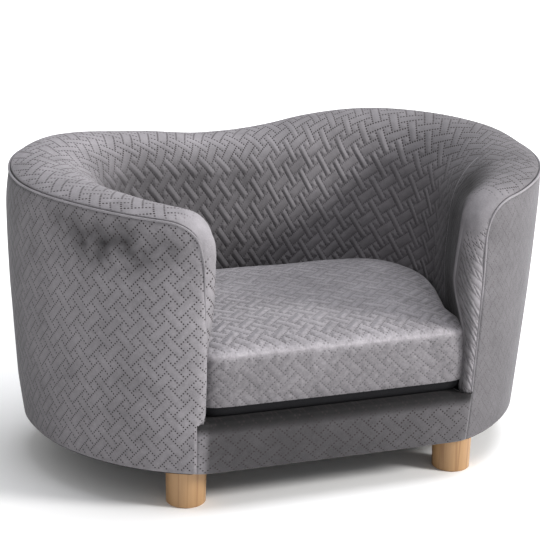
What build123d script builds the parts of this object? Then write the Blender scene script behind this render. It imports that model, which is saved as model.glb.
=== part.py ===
from build123d import *
import math
import os

os.makedirs("parts", exist_ok=True)

# Dog sofa bed. Millimetres, +Z up, floor at zero, open front towards -Y, middle of the sofa on X zero.

# Outer plan, measured at the bottom edge of the upholstery
body_half_width = 319.5
widest_y = 29.3              # the widest line of the body, as a place on Y
seam_to_board_angle = 9.5    # the boards stop this far round from the front seams
nose_reach = 15.0            # room ahead of the front rail for the arms' padded ends
front_depth = 220.0          # from the widest line forward to the front rail
rear_depth = 162.0           # from the widest line back to the middle of the back
front_corner_overhang = 17.5  # the front corner arcs' radius is this much more than the front depth
rear_corner_radius = 130.0
wall_lean_angle = 3.2        # the outer wall leans out as it rises
corner_cut_angle = 45.0      # where the back meets an arm, round the rear corner
backwards = 90.0             # direction of the back, as an angle from X

# Plan of the tub inside
tub_half_width = 219.0
tub_corner_radius = 95.0
tub_corner_setback = 6.0     # the tub is widest this far in front of the body's widest line
back_thickness = 62.0
nose_radius = 10.0           # rounded front end of an arm, at its foot

# Heights
leg_height = 48.0
base_board_thickness = 12.0
rail_board_height = 38.0
seat_board_thickness = 10.0
deck_thickness = 2.9
rim_height = 391.0           # highest point of the rim, at the rear corners
top_rail_drop = 73.0         # how far the wooden top rail lies below the rim's highest point
top_rail_thickness = 12.0

# Sheet thicknesses and depths, counted inwards from the outer face
cover_thickness = 2.5
lining_thickness = 2.5
outer_board_thickness = 3.0
post_depth = 24.0
post_width = 18.0
inner_board_thickness = 3.0
rail_padding = 8.0
dust_cover_thickness = 0.8
running_gap = 0.3            # between soft pieces of different bodies
sheet_gap = 0.1              # between the cover and what it is stretched over
board_gap = 0.2              # glue line between boards
deck_gap = 1.0
rail_turn_in = 34.0          # how far the rail's cover turns in over the seat board

# The rim: shares along an arm or half of the back, then crest and seam heights there as shares of
# the rim's highest point, and the crest's place as a share of the wall's width
arm_shares = (0.0, 0.05, 0.12, 0.2, 0.35, 0.5, 0.65, 0.8, 0.9, 1.0)
arm_crest_shares = (0.864, 0.893, 0.915, 0.926, 0.934, 0.937, 0.943, 0.963, 0.981, 0.992)
arm_seam_shares = (0.834, 0.872, 0.895, 0.908, 0.914, 0.918, 0.924, 0.942, 0.957, 0.968)
arm_ridge_shares = (0.5, 0.45, 0.4, 0.36, 0.33, 0.33, 0.33, 0.34, 0.36, 0.38)
back_shares = (0.0, 0.2, 0.4, 0.6, 0.8, 1.0)
back_crest_shares = (0.992, 0.99, 0.986, 0.973, 0.946, 0.938)
back_seam_shares = (0.968, 0.967, 0.963, 0.95, 0.924, 0.916)
back_ridge_share = 0.38
arm_steps = 14
back_steps = 8
seam_tuck_share = 0.1        # how far the padding's edge lies inside the wall, as a share of the overrun

# Rounded front end of an arm, cut in upright slices at angles round it
nose_angles = (74.0, 57.0, 40.0)
nose_crest_shares = (0.79, 0.832, 0.855)
nose_seam_share = 0.8        # how far down its own half width a slice turns upright
nose_ridge_share = 0.5

# Posts and blocks of the frame, as angles round the corner arcs and a share of the back arc
places = ("front", "side", "corner", "back")
front_post_angle = 6.0       # counted from the end of the boards
side_post_angle = -16.0
corner_post_angle = 34.0
back_post_share = 0.62

# Seat cushion
cushion_gap = 3.0
cushion_bottom_height = 12.0
cushion_boxing_height = 64.0
cushion_crown = 18.0
cushion_edge_tuck = 7.0      # how far the underside is drawn in
cushion_pull = 2.0           # how far the boxing seams are drawn in
cushion_corner_radius = 18.0
cushion_front_setback = 3.0
cushion_cloth = 2.5

# Cushion levels, with how far each is drawn in. The crown's insets are shares of the tub's corner radius
side_height_shares = (0.25, 0.5, 0.75)
side_pull_shares = (0.2, 0.0, 0.2)
crown_height_shares = (0.35, 0.68, 0.9, 1.0)
crown_inset_shares = (0.07, 0.22, 0.46, 0.75)
floor_pull_share = 0.25      # of the edge tuck, half way up to the base seam

# Legs and their fasteners
leg_radius_top = 24.0
leg_radius_bottom = 23.2
leg_edge = 1.2
leg_side_inset = 147.5       # leg centres, measured in from the body's side, front and back
leg_front_inset = 37.7
leg_rear_inset = 73.3
bolt_radius = 4.0
bolt_in_leg = 30.0
bolt_above_board = 4.0
tee_nut_flange_radius = 11.0
tee_nut_flange = 1.5
tee_nut_wall = 1.2
thread_clearance = 0.1

# Screws and staples
screw_radius = 2.0
screw_length = 34.0
screw_head_radius = 4.0
screw_head_height = 2.4
staple_length = 11.0
staple_width = 1.2
staple_thickness = 0.6
staple_count = 30
staple_inset = 6.5

# Zip in the cushion's rear boxing
zip_length = 214.0
zip_tape_width = 16.0
zip_tape_thickness = 1.0
zip_coil_width = 4.0
zip_coil_thickness = 1.4
slider_length = 9.0
slider_height = 10.0
slider_depth = 3.6
slider_wall = 0.9
pull_width = 5.0
pull_length = 18.0
pull_thickness = 1.2

# Welt and overrun
welt_width = 4.0
welt_proud = 1.2
overrun = 5.0

# Levels and offsets worked out from the sizes above
skirt_z = leg_height - dust_cover_thickness
base_top = leg_height + base_board_thickness
seat_bottom = base_top + rail_board_height
seat_top = seat_bottom + seat_board_thickness
top_rail_height = rim_height - top_rail_drop
deck_top = seat_top + deck_thickness
front_y = widest_y - front_depth
back_y = widest_y + rear_depth
lean = math.tan(math.radians(wall_lean_angle))
skin = cover_thickness + sheet_gap
board_offset = skin + outer_board_thickness
inner_board_offset = board_offset + post_depth
pad_offset = inner_board_offset + inner_board_thickness
front_corner_radius = front_depth + front_corner_overhang
front_centre = Vector(body_half_width - front_corner_radius, widest_y)
rear_centre = Vector(body_half_width - rear_corner_radius, widest_y)
tub_centre = Vector(tub_half_width - tub_corner_radius, widest_y - tub_corner_setback)
seam_angle = -math.degrees(math.asin(front_depth / front_corner_radius))
post_start_angle = seam_angle + seam_to_board_angle
far_front = front_depth + nose_reach
reach = 2 * (body_half_width + front_depth)


def swell(z):
    """How far the outer wall stands out at a height."""
    return lean * (z - skirt_z)


def ray(degrees):
    return Vector(math.cos(math.radians(degrees)), math.sin(math.radians(degrees)))


def heading(vector):
    return math.degrees(math.atan2(vector.Y, vector.X))


def raised(point, z):
    return Vector(point.X, point.Y, z)


def mirrored(point):
    return Vector(-point.X, point.Y, point.Z)


def back_radius(corner, radius, rear_y):
    """Radius of a shallow back arc that meets a corner arc without a kink."""
    rise = corner.Y - rear_y
    return (corner.X ** 2 + rise ** 2 - radius ** 2) / (-2 * (rise + radius))


def back_arc(corner, radius, rear_y, offset):
    """Centre, radius and end angle of the back arc, moved outwards by an offset."""
    big = back_radius(corner, radius, rear_y)
    centre = Vector(0, rear_y - big)
    return centre, big + offset, heading(corner - centre)


def outer_arcs(offset, front=front_depth):
    """Right half of the outer plan, from the front seam to the middle of the back."""
    start = -math.degrees(math.asin((front + offset) / (front_corner_radius + offset)))
    centre, radius, join = back_arc(rear_centre, rear_corner_radius, back_y, offset)
    return [
        (front_centre, front_corner_radius + offset, start, 0),
        (rear_centre, rear_corner_radius + offset, 0, join),
        (centre, radius, join, backwards),
    ]


def arc_edge(centre, radius, start, end, z, side=1):
    spots = [centre + ray(a) * radius for a in (start, (start + end) / 2, end)]
    points = [Vector(side * p.X, p.Y, z) for p in spots]
    return Edge.make_three_point_arc(*points)


def plan_wire(arcs, z):
    """Closed outline from the arcs of its right half, with a straight front."""
    centre, radius, join, middle = arcs[-1]
    edges = [arc_edge(*arc, z) for arc in arcs[:-1]]
    edges.append(arc_edge(centre, radius, join, 2 * middle - join, z))
    edges += [arc_edge(c, r, end, start, z, -1) for c, r, start, end in reversed(arcs[:-1])]
    edges.append(Edge.make_line(edges[-1] @ 1, edges[0] @ 0))
    return Wire(edges)


def block(offset, bottom, top, front=front_depth):
    """Leaning solid inside the outer plan, moved outwards by an offset."""
    wires = [plan_wire(outer_arcs(offset + swell(z), front), z) for z in (bottom, top)]
    return Solid.make_loft(wires, True)


def prism(points, bottom, top):
    face = Face(Wire.make_polygon([Vector(p.X, p.Y, bottom) for p in points]))
    return Solid.extrude(face, Vector(0, 0, top - bottom))


def wall_zone(angle, bottom, top):
    """Everything behind the two radial planes at an angle round the front corners."""
    tip = front_centre + ray(angle) * reach
    right = [front_centre, tip, Vector(reach, tip.Y), Vector(reach, reach)]
    left = [mirrored(p) for p in reversed(right)]
    return prism(right + left, bottom, top)


def ring(outside, inside, bottom, top, angle):
    """U-shaped leaning wall between two offsets, behind the radial planes."""
    whole = block(outside, bottom, top, far_front)
    shell = whole - block(inside, bottom - overrun, top + overrun, far_front)
    return shell & wall_zone(angle, bottom - overrun, top + overrun)


def crossing_tangent(a, radius_a, b, radius_b):
    """Points where a line touches two circles that lie on its two sides."""
    across = b - a
    turn = math.degrees(math.acos((radius_a + radius_b) / across.length))
    angle = heading(across) + turn
    return a + ray(angle) * radius_a, b - ray(angle) * radius_b, angle - 2 * backwards


nose_centre = front_centre + ray(seam_angle) * (front_corner_radius - skin - nose_radius)
mouth, tub_entry, side_angle = crossing_tangent(nose_centre, nose_radius, tub_centre, tub_corner_radius)
tub_back_y = back_y - back_thickness
tub_back = back_arc(tub_centre, tub_corner_radius, tub_back_y, 0)


def walk(path, share):
    """Point at a share of a path's length, with the direction away from its centre of curvature."""
    lengths = []
    for kind, a, b, start, end in path:
        lengths.append((b - a).length if kind == "line" else math.radians(abs(end - start)) * b)
    left = share * sum(lengths)
    for (kind, a, b, start, end), length in zip(path, lengths):
        if left <= length or (kind, a, b, start, end) == path[-1]:
            part = left / length
            if kind == "line":
                return a + (b - a) * part, ray(heading(b - a) - backwards)
            angle = start + (end - start) * part
            return a + ray(angle) * b, ray(angle)
        left -= length


def outer_path(piece):
    arcs = outer_arcs(-skin)
    front, rear, back = [("arc", c, r, start, end) for c, r, start, end in arcs]
    if piece == "arm":
        return [("arc", front[1], front[2], seam_angle, 0), rear[:4] + (corner_cut_angle,)]
    return [rear[:3] + (corner_cut_angle, rear[4]), back]


def tub_path(piece):
    centre, radius, join = tub_back
    if piece == "arm":
        line = ("line", mouth, tub_entry, 0, 0)
        return [line, ("arc", tub_centre, tub_corner_radius, side_angle, corner_cut_angle)]
    corner = ("arc", tub_centre, tub_corner_radius, corner_cut_angle, join)
    return [corner, ("arc", centre, radius, join, backwards)]


def half_arc(peak_s, peak_z, s, z):
    """Middle point of an arc that is level at its peak and ends at the other point."""
    run, drop = s - peak_s, peak_z - z
    radius = (run ** 2 + drop ** 2) / (2 * drop)
    half = math.asin(max(-1, min(1, run / radius))) / 2
    return peak_s + radius * math.sin(half), peak_z - radius + radius * math.cos(half)


def wall_section(origin, inwards, outwards, width, crest, seam, ridge, inset, margin, bottom):
    """Upright section of the padded wall, from the outer face over the rim to the tub."""
    along = outwards.dot(inwards)
    sideways = outwards - inwards * along

    def spot(s, z):
        return raised(origin + inwards * s + sideways * swell(z), z)

    def outside(z):
        return along * swell(z) + inset - margin

    top, edge = crest - inset, seam - inset
    edge_s = along * swell(edge) + inset + margin * seam_tuck_share
    inner_s = width - inset
    peak_s = along * swell(edge) + ridge * (width - along * swell(edge))
    shoulder = top - (inner_s - peak_s)
    hip = edge - overrun
    outer_mid = half_arc(peak_s, top, edge_s, edge)
    inner_mid = half_arc(peak_s, top, inner_s, shoulder)
    edges = [
        Edge.make_line(spot(outside(bottom), bottom), spot(outside(hip), hip)),
        Edge.make_line(spot(outside(hip), hip), spot(edge_s, edge)),
        Edge.make_three_point_arc(spot(edge_s, edge), spot(*outer_mid), spot(peak_s, top)),
        Edge.make_three_point_arc(spot(peak_s, top), spot(*inner_mid), spot(inner_s, shoulder)),
        Edge.make_line(spot(inner_s, shoulder), spot(inner_s, bottom)),
        Edge.make_line(spot(inner_s, bottom), spot(outside(bottom), bottom)),
    ]
    return Wire(edges)


def profile_at(shares, values, share):
    """Value of a rim profile at a share of the way, straight between its given values."""
    for a, b, low, high in zip(shares, shares[1:], values, values[1:]):
        if share <= b:
            return low + (high - low) * (share - a) / (b - a)
    return values[-1]


def station(piece, share):
    start, outwards = walk(outer_path(piece), share)
    end, _ = walk(tub_path(piece), share)
    return start, (end - start).normalized(), outwards, (end - start).length


def arm_wires(inset, bottom):
    """Sections of the right arm, from the tip of its nose to the rear corner."""
    start, inwards, outwards, width = station("arm", 0)
    forward = (outwards - inwards * outwards.dot(inwards)).normalized()
    radius = nose_radius - inset
    wires = []
    for angle, crest_share in zip(nose_angles, nose_crest_shares):
        half = radius * math.cos(math.radians(angle))
        tip = nose_centre + forward * radius * math.sin(math.radians(angle)) - inwards * half
        crest = crest_share * rim_height
        stand = -outwards.dot(inwards) * swell(crest)
        seam = crest - nose_seam_share * (half + stand / 2)
        wires.append(wall_section(tip, inwards, outwards, 2 * half, crest - inset, seam - inset,
                                  nose_ridge_share, 0, 0, bottom))
    for i in range(arm_steps + 1):
        share = i / arm_steps
        crest = profile_at(arm_shares, arm_crest_shares, share) * rim_height
        seam = profile_at(arm_shares, arm_seam_shares, share) * rim_height
        ridge = profile_at(arm_shares, arm_ridge_shares, share)
        margin = overrun if i else 0
        wires.append(wall_section(*station("arm", share), crest, seam, ridge, inset, margin, bottom))
    return wires


def back_wires(inset, bottom):
    """Sections of the back, from the right rear corner to the left one."""
    wires = []
    for i in range(2 * back_steps + 1):
        share = 1 - abs(i - back_steps) / back_steps
        crest = profile_at(back_shares, back_crest_shares, share) * rim_height
        seam = profile_at(back_shares, back_seam_shares, share) * rim_height
        start, inwards, outwards, width = station("back", share)
        if i > back_steps:
            start, inwards, outwards = mirrored(start), mirrored(inwards), mirrored(outwards)
        wires.append(wall_section(start, inwards, outwards, width, crest, seam, back_ridge_share,
                                  inset, overrun, bottom))
    return wires


def padding(wires_of, inset, bottom):
    """Solid of the padding inside an inset, trimmed to the leaning outer wall."""
    body = Solid.make_loft(wires_of(inset, bottom), True)
    return body & block(-skin - inset, bottom - overrun, rim_height + overrun, far_front)


def band(bottom, top):
    """Everything between two levels."""
    return Pos(0, 0, bottom) * Box(reach, reach, top - bottom, align=(Align.CENTER, Align.CENTER, Align.MIN))


def wall_pieces(wires_of):
    """Lining and foam of one stretch of the wall, both clear of the wooden frame."""
    frame_space = ring(-skin, -pad_offset, seat_top - overrun, top_rail_height, post_start_angle)
    whole = padding(wires_of, 0, seat_top)
    core = padding(wires_of, lining_thickness, seat_top - overrun)
    lining = whole - core - frame_space
    foam = core - frame_space - band(0, seat_top)
    return lining, foam


def half_turn(shape):
    return mirror(shape, Plane.YZ)


nodes = {}


def keep(name, shape):
    nodes[name] = shape


lining_right, foam_right = wall_pieces(arm_wires)
keep("arm_lining_right", lining_right)
keep("arm_foam_right", foam_right)
keep("arm_lining_left", half_turn(lining_right))
keep("arm_foam_left", half_turn(foam_right))
lining_back, foam_back = wall_pieces(back_wires)
keep("back_lining", lining_back)
keep("back_foam", foam_back)


# Seam surface, as two profiles that the outer cover and the welt are cut by
def seam_points(piece, shares, heights, axis):
    """Places of the top seam seen from the side or from the front."""
    points = []
    for share, height in zip(shares, heights):
        start, inwards, outwards, width = station(piece, share)
        z = height * rim_height
        spot = start + outwards * (swell(z) + skin)
        points.append((spot.X if axis == "X" else spot.Y, z))
    return points


def under_side_profile(shift):
    """Solid below the arms' seam line, drawn on the side view."""
    line = seam_points("arm", arm_shares, arm_seam_shares, "Y")
    points = [Vector(0, y, z + shift) for y, z in line]
    ahead = Vector(0, -reach, points[0].Z)
    behind = Vector(0, reach, points[-1].Z)
    edges = [Edge.make_line(ahead, points[0]), Edge.make_spline(points)]
    edges.append(Edge.make_line(points[-1], behind))
    edges.append(Edge.make_line(behind, Vector(0, reach, 0)))
    edges.append(Edge.make_line(Vector(0, reach, 0), Vector(0, -reach, 0)))
    edges.append(Edge.make_line(Vector(0, -reach, 0), ahead))
    face = Face(Wire(edges))
    return Solid.extrude(face.moved(Location((-reach, 0, 0))), Vector(2 * reach, 0, 0))


def under_front_profile(shift):
    """Solid below the back's seam line, drawn on the front view."""
    line = seam_points("back", back_shares, back_seam_shares, "X")
    right = [Vector(x, 0, z + shift) for x, z in line]
    points = right + [mirrored(p) for p in reversed(right[:-1])]
    far_right = Vector(reach, 0, points[0].Z)
    far_left = mirrored(far_right)
    edges = [Edge.make_line(far_right, points[0]), Edge.make_spline(points)]
    edges.append(Edge.make_line(points[-1], far_left))
    edges.append(Edge.make_line(far_left, Vector(-reach, 0, 0)))
    edges.append(Edge.make_line(Vector(-reach, 0, 0), Vector(reach, 0, 0)))
    edges.append(Edge.make_line(Vector(reach, 0, 0), far_right))
    face = Face(Wire(edges))
    return Solid.extrude(face.moved(Location((0, -reach, 0))), Vector(0, 2 * reach, 0))


def under_seam(shift):
    return under_side_profile(shift) & under_front_profile(shift)


wall_shell = ring(0, -cover_thickness, skirt_z, rim_height, seam_angle)
keep("outer_cover", wall_shell & under_seam(0))

# Welt along the top seam, a low band that stands proud of the cover
welt_band = ring(welt_proud, sheet_gap, top_rail_height, rim_height + overrun, seam_angle)
keep("top_welt", (welt_band & under_seam(welt_width / 2)) - under_seam(-welt_width / 2))


def front_welt():
    """Leaning strip down the front seam of the right arm."""
    foot = front_centre + ray(seam_angle) * front_corner_radius
    head_z = arm_seam_shares[0] * rim_height - welt_width
    wires = []
    for z in (skirt_z, head_z):
        centre = foot + ray(seam_angle) * (swell(z) + sheet_gap)
        half = ray(seam_angle + backwards) * (welt_width / 2)
        depth = ray(seam_angle) * welt_proud
        corners = [centre - half, centre + half, centre + half + depth, centre - half + depth]
        wires.append(Wire.make_polygon([raised(p, z) for p in corners]))
    return Solid.make_loft(wires, True)


keep("front_welt_right", front_welt())
keep("front_welt_left", half_turn(front_welt()))


# Wooden frame
def plate(bottom, top):
    return block(-board_offset - board_gap, bottom, top, front_depth - rail_padding + sheet_gap)


def radial_box(angle, radius, width, depth, bottom, top, centre):
    """Upright box whose depth lies along a ray from a centre."""
    middle = centre + ray(angle) * radius
    place = Plane(origin=raised(middle, bottom), x_dir=ray(angle), z_dir=Vector(0, 0, 1))
    return place * Box(depth, width, top - bottom, align=(Align.CENTER, Align.CENTER, Align.MIN))


def wall_spot(place):
    """Angle, centre and radius of the outer plan at a named place of the frame."""
    centre, radius, join = back_arc(rear_centre, rear_corner_radius, back_y, 0)
    spots = {
        "front": (post_start_angle + front_post_angle, front_centre, front_corner_radius),
        "side": (side_post_angle, front_centre, front_corner_radius),
        "corner": (corner_post_angle, rear_centre, rear_corner_radius),
        "back": (join + (backwards - join) * back_post_share, centre, radius),
    }
    return spots[place]


def post(place):
    """Upright between the seat board and the top rail, cut to the leaning wall."""
    angle, centre, radius = wall_spot(place)
    under_rail = top_rail_height - top_rail_thickness
    wall = ring(-board_offset - board_gap, board_gap - inner_board_offset,
                seat_top, under_rail, post_start_angle)
    slab = radial_box(angle, radius, post_width, 4 * post_depth, seat_top, under_rail, centre)
    return wall & slab


def spacer(place):
    """Short block between the base board and the seat board."""
    angle, centre, radius = wall_spot(place)
    middle = radius - board_offset - post_depth
    return radial_box(angle, middle, 2 * post_width, post_depth, base_top, seat_bottom, centre)


def screw(point, head_z, direction):
    """Countersunk screw, its head flush with a face."""
    shank = Cylinder(screw_radius, screw_length, align=(Align.CENTER, Align.CENTER, Align.MAX))
    head = Cone(screw_radius, screw_head_radius, screw_head_height,
                align=(Align.CENTER, Align.CENTER, Align.MAX))
    body = shank + head
    turned = body if direction > 0 else Rotation(2 * backwards, 0, 0) * body
    return Pos(point.X, point.Y, head_z) * turned


def screws_for(place):
    """One screw down through the top rail, one up through the base board."""
    angle, centre, radius = wall_spot(place)
    high = radius - board_offset - post_depth / 2 + swell(top_rail_height - top_rail_thickness)
    low = radius - board_offset - post_depth
    return [
        screw(centre + ray(angle) * high, top_rail_height, 1),
        screw(centre + ray(angle) * low, leg_height, -1),
    ]


def drilled(shape, tools):
    for tool in tools:
        shape = shape - tool
    return shape


right_screws = [s for place in places for s in screws_for(place)]
all_screws = right_screws + [half_turn(s) for s in right_screws]
keep("frame_screws", Compound(all_screws))

for place in places:
    tools = screws_for(place)
    upright = drilled(post(place), tools)
    low_block = drilled(spacer(place), tools)
    keep(place + "_post_right", upright)
    keep(place + "_post_left", half_turn(upright))
    keep(place + "_block_right", low_block)
    keep(place + "_block_left", half_turn(low_block))

top_rail = ring(-board_offset - board_gap, board_gap - inner_board_offset,
                top_rail_height - top_rail_thickness, top_rail_height, post_start_angle)
keep("top_rail", drilled(top_rail, all_screws))
keep("outer_board", ring(-skin, -board_offset, leg_height, top_rail_height, post_start_angle))
keep("inner_board", ring(-inner_board_offset, -pad_offset, seat_top, top_rail_height, post_start_angle))
keep("seat_board", plate(seat_bottom, seat_top))

leg_x = body_half_width - leg_side_inset
leg_spots = [(x, y) for y in (front_y + leg_front_inset, back_y - leg_rear_inset) for x in (-leg_x, leg_x)]
leg_names = ("leg_front_left", "leg_front_right", "leg_rear_left", "leg_rear_right")
nut_radius = bolt_radius + thread_clearance + tee_nut_wall


def upright_pin(radius, bottom, top, x, y):
    return Pos(x, y, bottom) * Cylinder(radius, top - bottom, align=(Align.CENTER, Align.CENTER, Align.MIN))


nut_holes = [upright_pin(nut_radius, skirt_z, base_top + overrun, x, y) for x, y in leg_spots]
base_board = drilled(plate(leg_height, base_top), all_screws + nut_holes)
keep("base_board", base_board)


def leg(x, y):
    """Turned leg with eased edges and a blind hole for its bolt."""
    body = Cone(leg_radius_bottom, leg_radius_top, leg_height, align=(Align.CENTER, Align.CENTER, Align.MIN))
    body = chamfer(body.edges().filter_by(GeomType.CIRCLE), leg_edge)
    hole = upright_pin(bolt_radius + thread_clearance, leg_height - bolt_in_leg - thread_clearance,
                       leg_height + overrun, 0, 0)
    return Pos(x, y, 0) * (body - hole)


def tee_nut(x, y):
    """Nut pressed into the base board from above, with its flange on top."""
    barrel = upright_pin(nut_radius, leg_height, base_top, x, y)
    flange = upright_pin(tee_nut_flange_radius, base_top, base_top + tee_nut_flange, x, y)
    bore = upright_pin(bolt_radius + thread_clearance, leg_height - overrun, base_top + overrun, x, y)
    return barrel + flange - bore


def hanger_bolt(x, y):
    return upright_pin(bolt_radius, leg_height - bolt_in_leg, base_top + bolt_above_board, x, y)


for name, (x, y) in zip(leg_names, leg_spots):
    keep(name, leg(x, y))
keep("tee_nuts", Compound([tee_nut(x, y) for x, y in leg_spots]))
keep("hanger_bolts", Compound([hanger_bolt(x, y) for x, y in leg_spots]))

# Dust cover under the base board and the staples that hold it
dust_cover = block(-skin, skirt_z, leg_height, front_depth - skin)
leg_holes = [upright_pin(leg_radius_top + running_gap, skirt_z - overrun, leg_height + overrun, x, y)
             for x, y in leg_spots]
keep("dust_cover", drilled(dust_cover, leg_holes))


def staples():
    """Staples round the edge of the dust cover, evenly spaced along its outline."""
    path = plan_wire(outer_arcs(-staple_inset), 0)
    pieces = []
    for i in range(staple_count):
        share = (i + 0.5) / staple_count
        spot, along = path @ share, path % share
        place = Plane(origin=raised(spot, skirt_z), x_dir=along, z_dir=Vector(0, 0, 1))
        pieces.append(place * Box(staple_length, staple_width, staple_thickness,
                                  align=(Align.CENTER, Align.CENTER, Align.MAX)))
    return Compound(pieces)


keep("dust_cover_staples", staples())

# Front rail: board, thin pad and a cover that turns in over the seat board
seam_x = (front_centre + ray(seam_angle) * front_corner_radius).X
rail_half = seam_x - welt_width
flap_half = nose_centre.X - nose_radius - deck_gap
rail_face = front_y + cover_thickness
rail_pad_back = front_y + rail_padding


def across(points, half):
    """Bar along X with a given outline in the side view."""
    face = Face(Wire.make_polygon([Vector(-half, y, z) for y, z in points]))
    return Solid.extrude(face, Vector(2 * half, 0, 0))


rail_board = across([(rail_pad_back, base_top), (rail_pad_back + post_width, base_top),
                     (rail_pad_back + post_width, seat_bottom), (rail_pad_back, seat_bottom)],
                    rail_half - post_width)
front_blocks = [spacer("front"), half_turn(spacer("front"))]
keep("front_rail_board", drilled(rail_board, front_blocks))

rail_foam = across([(rail_face, leg_height), (rail_pad_back, leg_height), (rail_pad_back, seat_top),
                    (rail_face - swell(seat_top), seat_top)], rail_half)
keep("front_rail_foam", rail_foam)

rail_cover = across([(front_y, skirt_z), (rail_face, skirt_z), (rail_face - swell(seat_top), seat_top),
                     (front_y - swell(seat_top), seat_top)], rail_half)
rail_flap = across([(front_y - swell(seat_top), seat_top), (rail_pad_back + rail_turn_in, seat_top),
                    (rail_pad_back + rail_turn_in, deck_top),
                    (front_y - swell(deck_top) + cover_thickness, deck_top)], flap_half)
keep("front_rail_cover", rail_cover + rail_flap)


# Cushion and deck plans, which follow the tub
def inner_wire(gap, z, front, corner_radius, flat_back):
    """Outline parallel to the tub, with a straight front between rounded corners."""
    outward = ray(side_angle)
    radius = tub_corner_radius - gap
    reach_out = tub_centre.dot(outward) + radius
    corner_y = front + corner_radius
    corner_x = (reach_out - corner_radius - corner_y * outward.Y) / outward.X
    corner = Vector(corner_x, corner_y)
    start = corner + ray(-backwards) * corner_radius
    touch = corner + outward * corner_radius
    bend = tub_centre + outward * radius
    join = backwards if flat_back else tub_back[2]
    edges = [
        arc_edge(corner, corner_radius, -backwards, side_angle, z),
        Edge.make_line(raised(touch, z), raised(bend, z)),
        arc_edge(tub_centre, radius, side_angle, join, z),
    ]
    if flat_back:
        rear = tub_centre + ray(backwards) * radius
        edges.append(Edge.make_line(raised(rear, z), raised(mirrored(rear), z)))
    else:
        edges.append(arc_edge(tub_back[0], tub_back[1] - gap, join, 2 * backwards - join, z))
    edges += [
        arc_edge(tub_centre, radius, join, side_angle, z, -1),
        Edge.make_line(raised(mirrored(bend), z), raised(mirrored(touch), z)),
        arc_edge(corner, corner_radius, side_angle, -backwards, z, -1),
        Edge.make_line(raised(mirrored(start), z), raised(start, z)),
    ]
    return Wire(edges)


deck_front = rail_pad_back + rail_turn_in + sheet_gap
deck_face = Face(inner_wire(deck_gap, seat_top, deck_front, cover_thickness, False))
keep("deck_cloth", Solid.extrude(deck_face, Vector(0, 0, deck_thickness)))

cushion_floor = deck_top + running_gap
base_seam = cushion_floor + cushion_bottom_height
top_seam = base_seam + cushion_boxing_height
crown_top = top_seam + cushion_crown


def cushion_levels():
    levels = [(cushion_floor, cushion_pull + cushion_edge_tuck)]
    low_pull = cushion_pull + floor_pull_share * cushion_edge_tuck
    levels.append(((cushion_floor + base_seam) / 2, low_pull))
    levels.append((base_seam, cushion_pull))
    for height, pull in zip(side_height_shares, side_pull_shares):
        levels.append((base_seam + height * cushion_boxing_height, pull * cushion_pull))
    levels.append((top_seam, cushion_pull))
    for height, inset in zip(crown_height_shares, crown_inset_shares):
        levels.append((top_seam + height * cushion_crown, inset * tub_corner_radius))
    return levels


def cushion_body(inset):
    """Crowned cushion with drawn-in sides, made smaller all round by an inset."""
    wires = []
    low, high = cushion_floor + inset, crown_top - inset
    for z, pull in cushion_levels():
        level = min(max(z, low), high)
        if z > top_seam:
            level = z - inset
        if z == cushion_floor:
            level = low
        front = front_y + cushion_front_setback + pull + inset
        wires.append(inner_wire(cushion_gap + pull + inset, level, front, cushion_corner_radius, True))
    return Solid.make_loft(wires, True)


cushion_whole = cushion_body(0)
cushion_core = cushion_body(cushion_cloth)
cushion_shell = cushion_whole - cushion_core


keep("cushion_foam", cushion_core)
keep("cushion_base_cloth", cushion_shell & band(0, base_seam))
keep("cushion_boxing", cushion_shell & band(base_seam, top_seam))
keep("cushion_top_panel", cushion_shell & band(top_seam, crown_top + overrun))

# Zip on the cushion's flat back, half way up the boxing
zip_y = tub_centre.Y + tub_corner_radius - cushion_gap
zip_z = (base_seam + top_seam) / 2
coil_y = zip_y + zip_tape_thickness


def lying_bar(length, depth, height, y, z):
    """Bar along X, from a face at y backwards."""
    return Pos(0, y, z) * Box(length, depth, height, align=(Align.CENTER, Align.MIN, Align.CENTER))


keep("zip_tape", lying_bar(zip_length, zip_tape_thickness, zip_tape_width, zip_y, zip_z))
keep("zip_coil", lying_bar(zip_length, zip_coil_thickness, zip_coil_width, coil_y, zip_z))

slider_x = -(zip_length / 2 - slider_length)
body = lying_bar(slider_length, slider_depth, slider_height, coil_y + running_gap, zip_z)
groove = lying_bar(slider_length + overrun, zip_coil_thickness, zip_coil_width + 2 * running_gap,
                   coil_y + running_gap, zip_z)
keep("zip_slider", Pos(slider_x, 0, 0) * (body - groove))
pull_y = coil_y + running_gap + slider_depth
pull_z = zip_z + slider_wall - pull_length / 2
keep("zip_pull", Pos(slider_x, 0, 0) * lying_bar(pull_width, pull_thickness, pull_length, pull_y, pull_z))

# The origin lies in the middle of the whole sofa's box
boxes = [shape.bounding_box() for shape in nodes.values()]
shift = -(min(b.min.Y for b in boxes) + max(b.max.Y for b in boxes)) / 2
for name, shape in nodes.items():
    export_step(shape.moved(Location((0, shift, 0))), f"parts/{name}.step")
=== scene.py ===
import math
import bmesh
import bpy
import numpy as np
from mathutils import Matrix, Vector


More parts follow.
